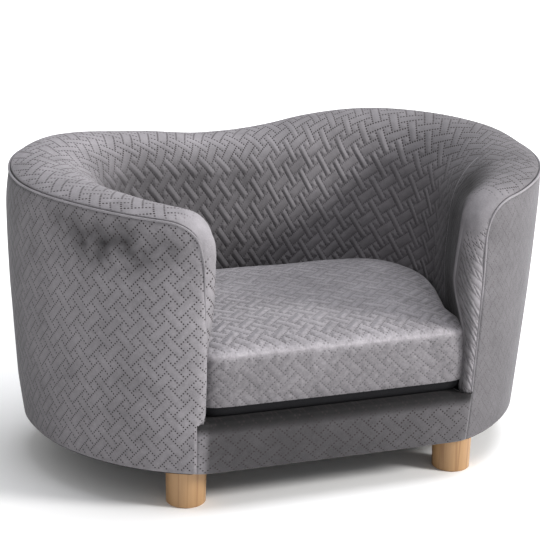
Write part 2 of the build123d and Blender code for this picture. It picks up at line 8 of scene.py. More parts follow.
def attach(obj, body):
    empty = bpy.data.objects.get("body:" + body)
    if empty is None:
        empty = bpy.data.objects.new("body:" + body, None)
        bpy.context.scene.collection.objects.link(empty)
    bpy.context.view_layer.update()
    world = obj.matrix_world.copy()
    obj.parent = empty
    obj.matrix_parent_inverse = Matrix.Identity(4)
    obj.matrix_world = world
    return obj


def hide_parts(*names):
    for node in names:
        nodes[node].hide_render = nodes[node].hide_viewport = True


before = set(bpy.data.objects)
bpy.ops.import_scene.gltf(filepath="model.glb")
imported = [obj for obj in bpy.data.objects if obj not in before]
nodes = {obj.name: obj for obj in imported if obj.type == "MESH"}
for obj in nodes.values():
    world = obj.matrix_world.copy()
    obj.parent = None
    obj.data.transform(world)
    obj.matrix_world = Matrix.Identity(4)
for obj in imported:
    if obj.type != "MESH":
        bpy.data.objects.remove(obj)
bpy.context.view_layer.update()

# Outer cover. Grey velvet quilted in a basket weave, stretched round the outside of the tub from the
# top seam down under the frame. Its section (down, under, up behind) is swept round the plan.
WIDEST = 0.02775
BODY_FOOT = 0.0475
LEAN = 0.0559
NOSE_ROUND = 0.0095
COVER_THICKNESS = 0.0026
# corners of the plan: centre x, centre y, radius
FRONT_CORNER = (0.082, WIDEST, 0.2375)
REAR_CORNER = (0.1895, WIDEST, 0.13)
FRONT_DEPTH, REAR_DEPTH = 0.22, 0.162
SEAM_ANGLE = -math.asin(FRONT_DEPTH / FRONT_CORNER[2])
REAR_CORNER_WAY = 0.2945
PLAN_STEP = 0.001


def distances(line):
    """Distances along a line to each of its points."""
    return np.concatenate([[0], np.cumsum(np.linalg.norm(np.diff(line, axis=0), axis=1))])


def joined_arcs(arcs):
    """Points and outward normals along the whole plan, from the left end round the back to the right end."""
    points, normals = [], []
    for cx, cy, radius, start, end in arcs:
        count = max(8, int(abs(end - start) * radius / PLAN_STEP))
        for i in range(count):
            angle = start + (end - start) * i / count
            way = (math.cos(angle), math.sin(angle))
            points.append((cx + radius * way[0], cy + radius * way[1]))
            normals.append(way)
    points = np.array(points + [(0, arcs[-1][1] + arcs[-1][2])])
    normals = np.array(normals + [(0, 1)])
    flip = np.array([-1, 1])
    points = np.vstack([points * flip, points[-2::-1]])
    normals = np.vstack([normals * flip, normals[-2::-1]])
    along = distances(points)
    return along - along[-1] / 2, points, normals


def back_arc(cx, cy, radius, rear):
    """Centre, radius and starting angle of the shallow arc across the back."""
    rise = cy - rear
    big = (cx ** 2 + rise ** 2 - radius ** 2) / (-2 * (rise + radius))
    return 0, rear - big, big, math.atan2(cy - (rear - big), cx)


def outer_plan():
    """The outside of the frame, from the left front seam round the back to the right one."""
    back = back_arc(*REAR_CORNER, WIDEST + REAR_DEPTH)
    return joined_arcs([FRONT_CORNER + (SEAM_ANGLE, 0), REAR_CORNER + (0, back[3]), back + (math.pi / 2,)])


def at(path, place):
    """Point and normal at distances along a path, counted from the middle of the back."""
    along, points, normals = path
    found = [np.interp(place, along, values) for values in np.hstack([points, normals]).T]
    return np.stack(found[:2], -1), np.stack(found[2:], -1)


def smooth(x, xs, ys):
    """Value of a soft curve through given points."""
    xs, ys = np.array(xs, float), np.array(ys, float)
    slope = np.gradient(ys, xs)
    i = np.clip(np.searchsorted(xs, x) - 1, 0, len(xs) - 2)
    width = xs[i + 1] - xs[i]
    t = np.clip((x - xs[i]) / width, 0, 1)
    a, b = 2 * t ** 3 - 3 * t ** 2 + 1, t ** 3 - 2 * t ** 2 + t
    value = a * ys[i] + b * width * slope[i] + (1 - a) * ys[i + 1]
    return value + (t ** 3 - t ** 2) * width * slope[i + 1]


def rising(x, start, length):
    """0 up to a start, 1 from a length beyond it, and even between."""
    return np.clip((x - start) / length, 0, 1)


def falling(x, end, length):
    """1 up to a length before an end, 0 beyond it, and even between."""
    return np.clip((end - x) / length, 0, 1)


OUTER = outer_plan()
HALF = OUTER[0][-1]
ARM = HALF - REAR_CORNER_WAY


def rim_place(way):
    """Place along the rim's profile: 0 at a front seam, 1 at the rear corner, 2 in the middle of the back."""
    way = np.minimum(np.abs(way), HALF)
    on_back = 1 + (REAR_CORNER_WAY - way) / REAR_CORNER_WAY
    return np.where(way > REAR_CORNER_WAY, (HALF - way) / ARM, on_back)


CREST_AT = (0, 0.12, 0.2, 0.35, 0.5, 0.65, 0.8, 0.9, 1, 1.1, 1.23, 1.39, 1.54, 1.69, 1.8, 1.9, 2)
LEFT_CREST = (0.356, 0.360, 0.362, 0.365, 0.367, 0.3695, 0.3755, 0.3800, 0.3815,
              0.3798, 0.3765, 0.3725, 0.369, 0.364, 0.3615, 0.3615, 0.3625)
RIGHT_CREST = (0.356, 0.360, 0.363, 0.367, 0.371, 0.3755, 0.381, 0.3832, 0.3852,
               0.3865, 0.3878, 0.387, 0.383, 0.3765, 0.370, 0.3655, 0.3625)
SEAM_DROP = ((0, 0.12, 0.35, 0.55, 0.75, 1, 1.3, 2),
             (0.008, 0.009, 0.0095, 0.012, 0.0155, 0.0155, 0.011, 0.0088))
SEAM_CORNER, SEAM_FALL, SEAM_SQUARENESS = 0.044, 0.046, 2.4
END_ROUND = 0.045
CORNER_WRAP = 0.006


def end_drop(reach):
    """How far the crest has come down at a distance from the tip of an arm's front end."""
    t = falling(reach, END_ROUND, END_ROUND)
    return END_ROUND * (1 - np.sqrt(1 - t * t))


def crest_height(way, reach=None):
    """Height of the rim's highest line, which the right rear corner carries furthest up."""
    place = rim_place(way)
    level = np.where(way < 0, smooth(place, CREST_AT, LEFT_CREST), smooth(place, CREST_AT, RIGHT_CREST))
    return level - end_drop(HALF - np.abs(way) + NOSE_ROUND if reach is None else reach)


def seam_height(way):
    """Height of the top seam, which turns down round the corner at an arm's front."""
    back = HALF + CORNER_WRAP - np.abs(way)
    corner = falling(back, SEAM_CORNER, SEAM_CORNER)
    level = crest_height(way, END_ROUND) - smooth(rim_place(way), *SEAM_DROP)
    return level - SEAM_FALL * (1 - (1 - corner ** SEAM_SQUARENESS) ** (1 / SEAM_SQUARENESS))


def swell(z):
    """How far the leaning wall stands out at a height."""
    return LEAN * (z - BODY_FOOT)


ROLL_IN = ((0, 0.25, 0.5, 0.8, 1, 1.25, 1.6, 2), (0, 0.0004, 0.003, 0.005, 0.005, 0.004, 0.001, 0))
ROLL_DEPTH = 0.045


def roll_in(way, below):
    """How far the wall rolls in towards the seam at its top, at a depth below that seam."""
    return smooth(rim_place(way), *ROLL_IN) * falling(below, ROLL_DEPTH, ROLL_DEPTH) ** 2


TUB_WIDEST, TUB_REAR, TUB_ROUND, TUB_SETBACK = 0.219, 0.1, 0.095, 0.006
TUB_CORNER = (TUB_WIDEST - TUB_ROUND, WIDEST - TUB_SETBACK, TUB_ROUND)
TUB_BACK = back_arc(*TUB_CORNER, WIDEST + TUB_REAR)


def tub_plan():
    """The tub's inner line, from the left mouth round the back to the right mouth."""
    corner = np.array(TUB_CORNER[:2])
    ray = np.array((math.cos(SEAM_ANGLE), math.sin(SEAM_ANGLE)))
    nose = np.array(FRONT_CORNER[:2]) + ray * (FRONT_CORNER[2] - COVER_THICKNESS - NOSE_ROUND)
    gap = corner - nose
    reach = math.hypot(*gap)
    turn = math.atan2(gap[1], gap[0]) + math.acos((NOSE_ROUND + TUB_ROUND) / reach)
    mouth = nose + NOSE_ROUND * np.array((math.cos(turn), math.sin(turn)))
    join = TUB_BACK[3]
    _, points, normals = joined_arcs([TUB_CORNER + (turn - math.pi, join), TUB_BACK + (math.pi / 2,)])
    entry = points[-1]
    count = int(math.hypot(*(mouth - entry)) / PLAN_STEP)
    share = np.arange(1, count + 1)[:, None] / count
    right = entry + (mouth - entry) * share
    flip = np.array([-1, 1])
    points = np.vstack([(right * flip)[::-1], points, right])
    way = np.repeat(normals[-1:], count, 0)
    normals = np.vstack([(way * flip), normals, way])
    along = distances(points)
    return along - along[-1] / 2, points, normals


TUB = tub_plan()
TUB_HALF = TUB[0][-1]


def tub_way(place):
    """Distance along the inner line that faces a place on the rim's profile."""
    _, _, big, join = TUB_BACK
    corner = big * (math.pi / 2 - join) + TUB_ROUND * (join - math.pi / 4)
    return np.where(place > 1, corner * (2 - place), corner + (TUB_HALF - corner) * (1 - place))


def turned(way, angle):
    """Plan directions turned by an angle."""
    c, s = np.cos(angle), np.sin(angle)
    return np.stack([way[:, 0] * c - way[:, 1] * s, way[:, 0] * s + way[:, 1] * c], -1)


PINCH_TOP, PINCH_FADE, PINCH_DEPTH = 0.255, 0.08, 0.0075
LEFT_BULGE = 0.003
RIGHT_BULGE = ((0.25, 0.275, 0.3, 0.33), (0.0075, 0.006, 0.0035, 0.001))


def pinch(side, z):
    """How far an arm's inner face is drawn in beside the cushion; less than zero where it bulges over it."""
    t = falling(z, PINCH_TOP, PINCH_FADE)
    over = np.where(side < 0, LEFT_BULGE, np.interp(z, *RIGHT_BULGE))
    return t * t * (3 - 2 * t) * (PINCH_DEPTH + over) - over


def nose_arc(side, z):
    """Rounded front end of an arm at a height: centre, radius, first direction and whole turn."""
    start, outwards = at(OUTER, side * HALF)
    mouth, inner = at(TUB, side * TUB_HALF)
    start = start + outwards * swell(z)[:, None]
    depth = ((start - mouth) * inner).sum(1) - pinch(side, z)
    radius = depth / (1 + (outwards * inner).sum(1))
    whole = math.pi - np.arccos(np.clip((outwards * inner).sum(1), -1, 1))
    return start - outwards * radius[:, None], radius, outwards, -side * whole


def nose_spot(side, z, angle, lift=0.0):
    """Point on an arm's rounded front end, an angle round from its outer side."""
    centre, radius, first, _ = nose_arc(side, z)
    return centre + turned(first, -side * angle) * (radius + lift)[:, None]


PADDING_FOOT = 0.111
SEAM_Z = (0.05, 0.117, 0.18, 0.215, 0.262, 0.297, 0.327)
LEFT_SEAM_WRAP = (0.010, 0.0108, 0.0108, 0.0092, 0.0078, 0.0068, 0.0055)
RIGHT_SEAM_WRAP = (0.0, 0.0, 0.0, 0.0005, 0.0018, 0.0035, 0.0045)
SEAM_WRAP_START = 0.009


def seam_wrap(side, z):
    """How far round the arm's front end the front seam lies."""
    wrap = np.where(side < 0, smooth(z, SEAM_Z, LEFT_SEAM_WRAP), smooth(z, SEAM_Z, RIGHT_SEAM_WRAP))
    return wrap * rising(z, PADDING_FOOT, SEAM_WRAP_START)


STUFFING, STUFFING_FOOT, SEAM_SUNK = 0.0022, 0.05, 0.0004


def wall_out(z, top):
    """How far the stuffed cover stands out at a height, below its seam at the top."""
    share = falling(z, top, top - STUFFING_FOOT)
    return swell(z) + STUFFING * np.sin(np.pi * share) ** 0.6 - SEAM_SUNK


def cover_spot(way, z, out):
    """Point on the outer wall, also where the cover goes on round an arm's front end."""
    side = np.where(way < 0, -1, 1)
    point, normal = at(OUTER, way)
    flat = point + normal * out[:, None]
    beyond = np.maximum(np.abs(way) - HALF, 0)
    round_end = nose_spot(side, z, beyond / nose_arc(side, z)[1], out - swell(z))
    return np.where(beyond[:, None] > 0, round_end, flat)


WAVES = 7


def ripple(a, b, seed):
    """Slow uneven wrinkles of the cloth, from -1 to 1."""
    rng = np.random.default_rng(seed)
    total = np.zeros(np.broadcast(a, b).shape)
    for _ in range(WAVES):
        fa, fb, phase = rng.uniform(6, 42), rng.uniform(6, 30), rng.uniform(0, 6.3)
        total = total + np.sin(a * fa + b * fb * rng.choice((-1, 1)) + phase)
    return total / 5


MERGE = 0.00002


def grid(name, columns, rows, place):
    """Closed mesh from a grid laid by place(i, j), which gives points, flat cloth coordinates, how deep
    the quilting is, how light the nap lies with painted light and shade laid over it, and the distance
    to a seam between panels."""
    bm = bmesh.new()
    bmesh.ops.create_grid(bm, x_segments=columns, y_segments=rows, size=1)
    mesh = bpy.data.meshes.new(name)
    bm.to_mesh(mesh)
    bm.free()
    co = np.empty(len(mesh.vertices) * 3)
    mesh.vertices.foreach_get("co", co)
    co = co.reshape(-1, 3)
    i = np.rint((co[:, 0] + 1) / 2 * columns).astype(int)
    j = np.rint((co[:, 1] + 1) / 2 * rows).astype(int)
    points, cloth, quilt, nap, *seam = place(i, j)
    mesh.vertices.foreach_set("co", points.astype(np.float32).ravel())
    corner = np.empty(len(mesh.loops), int)
    mesh.loops.foreach_get("vertex_index", corner)
    layer = mesh.uv_layers.new(name="Cloth")
    layer.data.foreach_set("uv", cloth[corner].astype(np.float32).ravel())
    for label, values in (("quilt", quilt), ("nap", nap), ("seam", seam[0] if seam else 1)):
        layer = mesh.attributes.new(label, "FLOAT", "POINT")
        layer.data.foreach_set("value", np.broadcast_to(values, len(i)).astype(np.float32))
    bm = bmesh.new()
    bm.from_mesh(mesh)
    bmesh.ops.remove_doubles(bm, verts=bm.verts, dist=MERGE)
    open_edges = [e for e in bm.edges if e.is_boundary]
    if open_edges:
        bmesh.ops.holes_fill(bm, edges=open_edges, sides=0)
    bmesh.ops.recalc_face_normals(bm, faces=bm.faces)
    for face in bm.faces:
        face.smooth = True
    bm.to_mesh(mesh)
    bm.free()
    piece = bpy.data.objects.new(name, mesh)
    bpy.context.scene.collection.objects.link(piece)
    return piece


def feed(slot, value):
    """Link a value to a node's input, or write it there."""
    if isinstance(value, Sum):
        value.tree.links.new(value.socket, slot)
    else:
        slot.default_value = value


class Sum:
    """A socket of a node, with its arithmetic written as operators."""

    def __init__(self, tree, socket):
        self.tree = tree
        self.socket = socket

    def maths(self, operation, *others, clamp=False):
        node = self.tree.nodes.new("ShaderNodeMath")
        node.operation = operation
        node.use_clamp = clamp
        for slot, value in zip(node.inputs, (self,) + others):
            feed(slot, value)
        return Sum(self.tree, node.outputs[0])

    def __add__(self, other):
        return self.maths("ADD", other)

    def __sub__(self, other):
        return self.maths("SUBTRACT", other)

    def __mul__(self, other):
        return self.maths("MULTIPLY", other)

    def __truediv__(self, other):
        return self.maths("DIVIDE", other)

    def __rsub__(self, other):
        return (self * -1) + other

    def least(self, other):
        return self.maths("MINIMUM", other)

    def most(self, other):
        return self.maths("MAXIMUM", other)

    def fraction(self):
        return self.maths("FRACT")

    def wrapped(self, size):
        return self.maths("FLOORED_MODULO", size)

    def below(self, other):
        return self.maths("LESS_THAN", other)

    def to_edge(self):
        """Distance to the nearer whole number."""
        return self.fraction().least(1 - self.fraction())

    def ramp(self, low, high):
        """0 below low, 1 above high, soft between."""
        t = (self - low).maths("DIVIDE", high - low, clamp=True)
        return t * t * (3 - t * 2)


class Shader:
    """The nodes of a material, or of the world, under construction."""

    def __init__(self, owner, last="Principled BSDF"):
        self.owner = owner
        self.owner.use_nodes = True
        self.tree = owner.node_tree
        self.out = self.tree.nodes[last]

    def node(self, kind, inputs=(), **settings):
        made = self.tree.nodes.new(kind)
        for key, value in settings.items():
            setattr(made, key, value)
        for key, value in dict(inputs).items():
            feed(made.inputs[key], value)
        return made

    def sum(self, node, output=0):
        return Sum(self.tree, node.outputs[output])

    def noise(self, vector, scale, detail=3.0, roughness=0.55):
        inputs = {"Vector": vector, "Scale": scale, "Detail": detail, "Roughness": roughness}
        return self.sum(self.node("ShaderNodeTexNoise", inputs))

    def place(self):
        return self.sum(self.node("ShaderNodeTexCoord"), 3)

    def attribute(self, name):
        return self.sum(self.node("ShaderNodeAttribute", attribute_name=name), 2)

    def bump(self, height, strength=1.0):
        inputs = {"Height": height, "Strength": strength, "Distance": 1.0}
        return self.sum(self.node("ShaderNodeBump", inputs))

    def mix(self, factor, low, high):
        return self.sum(self.node("ShaderNodeMix", {0: factor, 6: low, 7: high}, data_type="RGBA"), 2)

    def finish(self, sockets):
        for name, value in sockets.items():
            feed(self.out.inputs[name], value)
        return self.owner


def grey(value, warm=0.03):
    """Grey of a given lightness with a slight tint."""
    return (value * (1 + warm), value * 0.98, value * 1.04, 1)


WEAVE = 0.0113
PILLOW_DEPTH, DOT_DEPTH, GROOVE_DEPTH = 0.0013, 0.0004, 0.0012


def velvet(name, tone=0.19, relief=1.0, dots=1.0, crease=0.0, side_light=0.0, crush=0.0,
           weak_p=0.0, weak_q=0.0, sheen=0.2, dot_size=1.0, deep_hides=0.0):
    """Velvet welded into a basket weave of strips that run two ways, p and q, each one WEAVE wide and
    three long. The cloth coordinates are metres on the flat cloth. Crease sets how sharp the lines
    between the strips are, the side light how much painted light lies on one side of each strip and painted
    shade on the other, crush the marks in the pile, weak_p and weak_q how flat the strips of one way are,
    and deep_hides how much a deep relief swallows the dots on the lines."""
    s = Shader(bpy.data.materials.new(name))
    cloth = s.node("ShaderNodeUVMap", uv_map="Cloth")
    axes = s.node("ShaderNodeSeparateXYZ", {"Vector": s.sum(cloth)})
    across, up = s.sum(axes, 0), s.sum(axes, 1)
    p = (across + up) / (WEAVE * math.sqrt(2))
    q = (up - across) / (WEAVE * math.sqrt(2))
    row, column = q.maths("FLOOR"), p.maths("FLOOR")
    odd_row, odd_column = row.wrapped(2.0), column.wrapped(2.0)
    along_p = (p - (row - 1)).wrapped(4.0)
    along_q = (q - (column - 1) - 2).wrapped(4.0)
    is_p = odd_row * along_p.below(3.0)
    is_q = odd_column * along_q.below(3.0) * (1 - is_p)
    is_square = 1 - is_p - is_q
    edge_p, edge_q = p.to_edge(), q.to_edge()
    end_p = along_p.least(3 - along_p)
    end_q = along_q.least(3 - along_q)
    side = is_p * edge_q + is_q * edge_p + is_square * edge_p.least(edge_q)
    end = is_p * end_p + is_q * end_q + is_square * edge_p.most(edge_q)
    soft, sharp = side.ramp(0.0, 0.5), 1 - (1 - side * 2).maths("POWER", 2.0)
    pillow = (soft + (sharp - soft) * crease) * end.ramp(-0.1, 0.45) * (1 - is_p * weak_p - is_q * weak_q)
    # painted light across each strip: its right or upper side lighter, its other side darker
    side_light_ramp = is_q * (p.fraction() - 0.5) + is_p * (q.fraction() - 0.5) * 0.5
    # three dots to each strip's width along the lines
    border_q = is_p * edge_q + is_q * end_q + is_square * edge_q
    border_p = is_p * end_p + is_q * edge_p + is_square * edge_p
    step_p, step_q = (p * 3).to_edge() / 3, (q * 3).to_edge() / 3
    dot_a = (step_p * step_p + border_q * border_q).maths("SQRT")
    dot_b = (step_q * step_q + border_p * border_p).maths("SQRT")
    dot = 1 - dot_a.least(dot_b).ramp(0.055 * dot_size, 0.115 * dot_size)
    strength = s.attribute("quilt")
    # pile: large blotches, brushed nap, crushed marks and single hairs
    place = s.place()
    blotch = s.noise(place, 22.0, 4.0, 0.6)
    nap = s.noise(place, 95.0, 3.0, 0.6)
    fuzz = s.noise(place, 700.0, 3.0, 0.7)
    marks = s.noise(place, 240.0, 3.0, 0.7)
    shade = (blotch - 0.5) * 0.8 + (nap - 0.5) * 0.45 + (fuzz - 0.5) * 0.55 + (marks - 0.5) * crush
    # painted shade in the sunk lines between the strips, and painted light on one side of each strip with
    # painted shade on the other
    shade = shade + (pillow - 0.6) * 0.05 * strength + side_light_ramp * strength * side_light
    base = s.mix(shade.maths("ADD", 0.5, clamp=True), grey(tone * 0.55), grey(tone * 1.5))
    # sunk seam with its stitches, where two panels meet
    panel_seam = s.attribute("seam").maths("ABSOLUTE")
    groove, stitch = 1 - panel_seam.ramp(0.0004, 0.003), 1 - panel_seam.ramp(0.0006, 0.0016)
    strength = strength * panel_seam.ramp(0.001, 0.006)
    # the mesh's nap attribute scales the colour: the nap's own tone together with painted light and painted
    # shade on each part
    base = s.sum(s.node("ShaderNodeVectorMath", {0: base, "Scale": s.attribute("nap")}, operation="SCALE"))
    seen = strength.ramp(0.0, 0.16) * (1 - strength.ramp(0.4, 1.0) * deep_hides) * dots
    color = s.mix(dot * seen, base, grey(tone * 0.08, 0.35))
    color = s.mix(stitch * (fuzz.ramp(0.4, 0.6) * 0.6 + 0.2), color, grey(tone * 1.3))
    height = groove * -GROOVE_DEPTH + (pillow * PILLOW_DEPTH - dot * DOT_DEPTH) * strength * relief
    height = height + (fuzz - 0.5) * 0.00012 + (nap - 0.5) * 0.0005
    rough = (nap - 0.5) * 0.25 + 0.78
    return s.finish({
        "Base Color": color, "Roughness": rough, "Normal": s.bump(height), "Specular IOR Level": 0.2,
        "Sheen Weight": sheen, "Sheen Roughness": 0.35, "Sheen Tint": (0.93, 0.92, 0.96, 1),
    })


COVER_VELVET = velvet("velvet_cover", relief=0.16, side_light=0.06, crush=0.45)
COVER_COLUMNS = 336
# rows at which each stretch of the section ends
WALL_END, EDGE_END, UNDER_END, INSIDE_END, COVER_ROWS = 50, 58, 62, 76, 77
EDGE_ROUND, UNDER_FLAP = 0.005, 0.012
EDGE_TOP = BODY_FOOT + EDGE_ROUND
INSIDE_FOOT, INSIDE_GAP = 0.0481, 0.0024
COVER_WRINKLE, SIDE_BELLY = 0.0007, 0.0028
WALL_SCALE, CLOTH_SCALE, CLOTH_LEVEL = 1.2, 1.02, 0.2
# nap of the outer wall with painted light and painted shade, by distance back from a front seam
WALL_LIGHT_WAY = (0, 0.03, 0.08, 0.155, 0.22, 0.28, 0.4, 0.7)
LEFT_WALL_NAP_AND_LIGHT = (1.2, 1.12, 1.0, 0.92, 0.7, 0.35, 0.36, 0.6)
RIGHT_WALL_NAP_AND_LIGHT = (0.6, 0.58, 0.52, 0.48, 0.46, 0.48, 0.55, 0.6)
# dark marks: distance back from the front seam, distance below the top seam, size, darkness
SMUDGES = ((0.115, 0.042, 0.034, 0.58), (0.075, 0.024, 0.026, 0.5), (0.028, 0.03, 0.018, 0.55),
           (0.15, 0.022, 0.024, 0.3), (0.055, 0.052, 0.022, 0.35))


def cover_place(i, j):
    """Column i goes round the plan and row j round the section."""
    t = i / COVER_COLUMNS * 2 - 1
    side = np.where(t < 0, -1, 1)
    near = rising(np.abs(t), 0.9, 0.1) ** 2
    top = seam_height(t * HALF + side * CORNER_WRAP * near)
    # outer wall, down from the seam
    z = top + (EDGE_TOP - top) * rising(j, 0, WALL_END)
    height = top - z
    way = t * HALF + side * seam_wrap(side, z) * near
    calm = rising(height, 0, 0.03) * rising(z, 0.05, 0.05) * falling(np.abs(way), HALF, 0.03)
    out = wall_out(z, top) + COVER_WRINKLE * ripple(way, z * 1.3, 4) * calm - roll_in(way, height)
    out = out + SIDE_BELLY * falling(way, -0.15, 0.1) * falling(z, 0.34, 0.12) * calm
    # rounded lower edge and the strip under the frame
    turn = rising(j, WALL_END, EDGE_END - WALL_END) * math.pi / 2
    under = j > WALL_END
    out = np.where(under, swell(EDGE_TOP) - EDGE_ROUND + EDGE_ROUND * np.cos(turn), out)
    z = np.where(under, EDGE_TOP - EDGE_ROUND * np.sin(turn), z)
    out = out - rising(j, EDGE_END, UNDER_END - EDGE_END) * UNDER_FLAP
    z = np.where(j > EDGE_END, BODY_FOOT, z)
    # wrong side of the cloth, back up to the seam
    rise = INSIDE_FOOT + (top - INSIDE_FOOT) * rising(j, UNDER_END, INSIDE_END - UNDER_END)
    z = np.where(j > UNDER_END, rise, z)
    out = np.where(j > UNDER_END, swell(rise) - INSIDE_GAP - roll_in(way, top - rise), out)
    last = j == COVER_ROWS
    z = np.where(last, top, z)
    out = np.where(last, swell(top) - SEAM_SUNK - roll_in(way, 0), out)
    way = t * HALF + side * np.where(top - z < 0.02, CORNER_WRAP, seam_wrap(side, z)) * near
    xy = cover_spot(way, z, out)
    cloth = np.stack([-way * WALL_SCALE, (top - height - CLOTH_LEVEL) * CLOTH_SCALE], -1)
    # quilting, flatter at the seams and on the right side
    back = HALF - np.abs(way)
    at_front = np.where(z > 0.115, np.clip(back / 0.012, 0.1, 1), 1)
    quilt = rising(height, 0, 0.018) * at_front * np.where(way > 0, falling(way, 0.5, 0.2), 1)
    # nap with painted light and shade: lighter near the left front seam and in a band under the top seam,
    # darker further back and towards the bottom; dark smudges on the left side
    nap = np.where(way < 0, smooth(back, WALL_LIGHT_WAY, LEFT_WALL_NAP_AND_LIGHT), smooth(back, WALL_LIGHT_WAY, RIGHT_WALL_NAP_AND_LIGHT))
    streaks = 1 + 0.5 * ripple(way * 6, z * 6, 31) + 0.4 * ripple(way * 17, z * 15, 33)
    for spot_back, spot_height, size, dark in SMUDGES:
        away = np.hypot((back - spot_back) / size, (height - spot_height) / size / 0.7)
        nap = nap - dark * np.exp(-away ** 2) * (way < 0) * streaks
    nap = nap * (1 + 0.1 * falling(height, 0.012, 0.012)) * (0.88 + 0.12 * rising(z, 0, 0.2))
    return np.column_stack([xy, z]), cloth, 0.07 + 0.93 * quilt, nap


cover = grid("outer_cover_velvet", COVER_COLUMNS, COVER_ROWS, cover_place)
cover.data.materials.append(COVER_VELVET)
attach(cover, "sofa")
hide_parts("outer_cover")

# Tub padding. One soft body under the same velvet: rolled front ends, the rim and the inner face. Its
# upright section is swept from the left front seam round the back to the right one.
NOSE_SLICES, SPAN, LAST_SLICE = 10, 336, 0.985
# rows at which each stretch of the section ends
SEAM_ROW, CREST_ROW, SHOULDER_ROW, FOOT_ROW, PADDING_ROWS = 30, 42, 66, 110, 113
CREST_STEPS, CREST_SHARE = 1600, 0.36
PEAK_SHARE = ((0, 0.12, 0.35, 0.65, 1, 2), (0.5, 0.41, 0.33, 0.33, 0.38, 0.38))
BEHIND_COVER, FRONT_PART, SHOULDER_FALL = 0.003, 0.38, 0.98
LEAST_DROP, OVER_TURN = 0.0005, 0.25
FACE_FULL, FULL_FOOT, PADDING_WRINKLE = 0.002, 0.2, 0.0009
LINING_SEAM, TUB_ARM = 0.42, TUB_HALF - 0.199
# nap of the tub with painted light on the rim and painted shade down the inner face, by share of the way from
# the left mouth to the right one
TUB_LIGHT_SHARES = (-1, -0.93, -0.6, -0.3, 0, 0.3, 0.5, 0.7, 0.76, 0.79, 0.93, 1)
RIM_NAP_AND_LIGHT = (1.1, 1.0, 1.03, 1.0, 0.9, 0.75, 0.65, 0.55, 0.55, 0.55, 0.7, 0.95)
INNER_NAP_AND_SHADE = (0.8, 0.55, 0.5, 0.5, 0.6, 0.85, 0.78, 0.34, 0.18, 0.08, 0.06, 0.1)
LEFT_NOSE_NAP_AND_LIGHT = ((0, 0.5, 0.8, 1.0), (0.6, 0.95, 1.2, 1.3))
RIGHT_NOSE_NAP_AND_SHADE = ((0, 0.1, 0.25, 0.5, 0.7, 0.95), (0.25, 0.5, 0.52, 0.62, 0.95, 1.15))


def arc_between(peak_s, peak_z, s, z, t):
    """Point at a share t of an arc that is level at its peak, from the peak to the other end."""
    run, drop = s - peak_s, np.maximum(peak_z - z, LEAST_DROP)
    radius = (run ** 2 + drop ** 2) / (2 * drop)
    whole = np.minimum(np.arctan2(np.abs(run), radius - drop) + OVER_TURN, math.pi / 2)
    sunk = (1 - np.cos(whole * t)) / (1 - np.cos(whole))
    return peak_s + run * np.sin(whole * t) / np.sin(whole), peak_z - drop * sunk


def crest_path():
    """Distances along the crest of the rim, by distance along the outer plan."""
    way = np.linspace(-HALF, HALF, CREST_STEPS + 1)
    place = rim_place(way)
    start, end = at(OUTER, way)[0], at(TUB, np.sign(way) * tub_way(place))[0]
    line = start + (end - start) * CREST_SHARE
    along = distances(line)
    return way, along - along[CREST_STEPS // 2]


CREST_PATH = crest_path()


